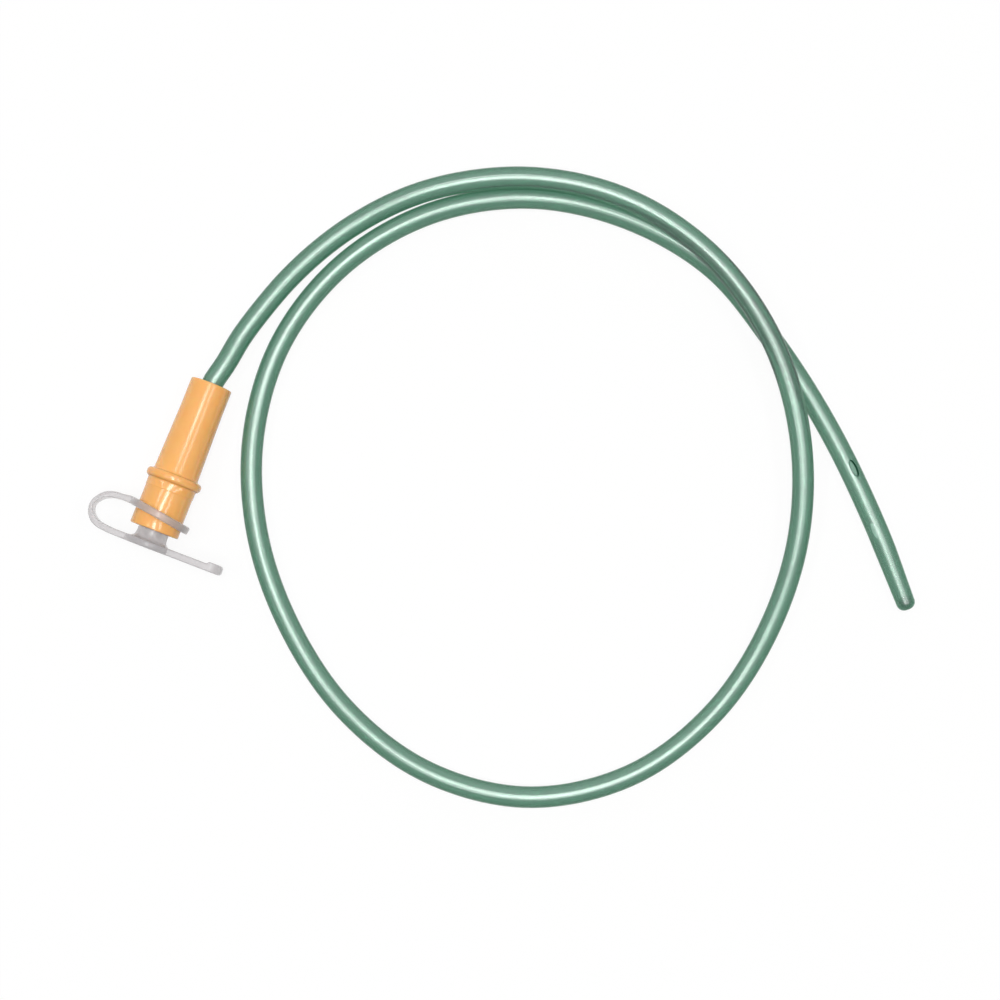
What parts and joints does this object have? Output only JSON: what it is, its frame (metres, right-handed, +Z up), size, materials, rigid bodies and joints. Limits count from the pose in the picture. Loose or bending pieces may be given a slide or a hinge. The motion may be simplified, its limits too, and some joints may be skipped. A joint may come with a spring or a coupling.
{
  "type": "nasal oxygen catheter",
  "caption": "Coiled translucent green tube with a closed round tip and side eyes, a funnel connector, and a tethered plug cap.",
  "frame": {"origin": "middle of the connector and its cap, on the surface that the catheter lies on", "axes": "+Z up from the surface; -Y is the way the funnel's mouth points in plan; +X is the side that the cap's pull tab reaches to"},
  "size_m": [0.1977, 0.1546, 0.016],
  "materials": {
    "tube_pvc": "smooth translucent soft tubing",
    "connector_pvc": "smooth moulded",
    "cap_plastic": "smooth, slightly translucent, moulded"
  },
  "bodies": {
    "catheter": {"catheter_tube": "tube_pvc", "funnel_connector": "connector_pvc"},
    "cap": {"strap_cap": "cap_plastic"}
  },
  "joints": [
    {"name": "cap_pull", "type": "slide", "parent": "catheter", "child": "cap", "axis": [0, -0.9966, 0.0828], "range_m": [0, 0.015]}
  ]
}
